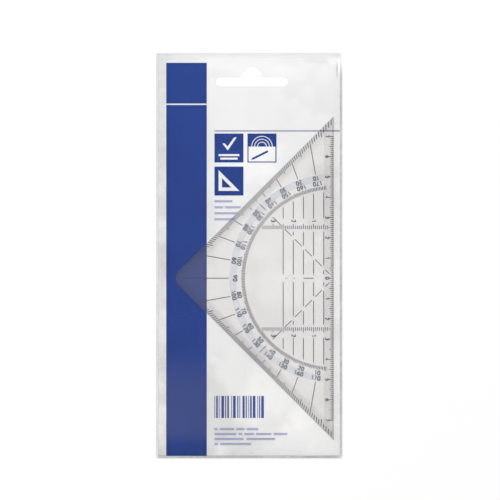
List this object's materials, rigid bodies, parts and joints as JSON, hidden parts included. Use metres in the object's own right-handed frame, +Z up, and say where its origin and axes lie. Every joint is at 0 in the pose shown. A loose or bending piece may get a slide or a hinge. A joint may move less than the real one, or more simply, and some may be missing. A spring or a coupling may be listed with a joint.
{
  "type": "set square in a hanging pouch",
  "caption": "Clear set square with protractor and millimetre scales, sliding in a flat clear film pouch with a hanging slot and blue print.",
  "frame": {"origin": "middle of the pouch's outline, on the surface that its back film lies on", "axes": "+Z up out of the front film, +Y along the pouch towards its mouth and hanging slot, +X towards the set square's long edge"},
  "size_m": [0.092, 0.2, 0.0029],
  "materials": {
    "clear_film": "clear, soft gloss, slightly wavy",
    "welded_film": "clear, melted and cut edge",
    "blue_ink": "screen print, satin",
    "pale_ink": "fine screen print, satin",
    "clear_plate": "clear moulded plastic, polished",
    "stamped_ink": "hot-stamped ink",
    "ring_tint": "thin tinted ink"
  },
  "bodies": {
    "pouch": {"back_film": "clear_film", "front_film": "clear_film", "front_mouth_hem": "welded_film", "left_weld": "welded_film", "right_weld": "welded_film", "bottom_weld": "welded_film", "header_print": "blue_ink", "band_print": "blue_ink", "rule_print": "pale_ink", "tick_panel_print": "blue_ink", "arcs_panel_print": "blue_ink", "triangle_panel_print": "blue_ink", "caption_print": "blue_ink", "bar_pattern_print": "blue_ink", "address_print": "pale_ink"},
    "set_square": {"set_square_plate": "clear_plate", "long_edge_scale": "stamped_ink", "protractor_scale": "stamped_ink", "short_edge_scale": "stamped_ink", "degree_rays": "stamped_ink", "parallel_lines": "stamped_ink", "diagonal_lines": "stamped_ink", "cross_scales": "stamped_ink", "middle_line": "stamped_ink", "figure_ring_tint": "ring_tint"}
  },
  "joints": [
    {"name": "square_slide", "type": "slide", "parent": "pouch", "child": "set_square", "axis": [0, 1, 0], "range_m": [-0.004, 0.195]}
  ]
}
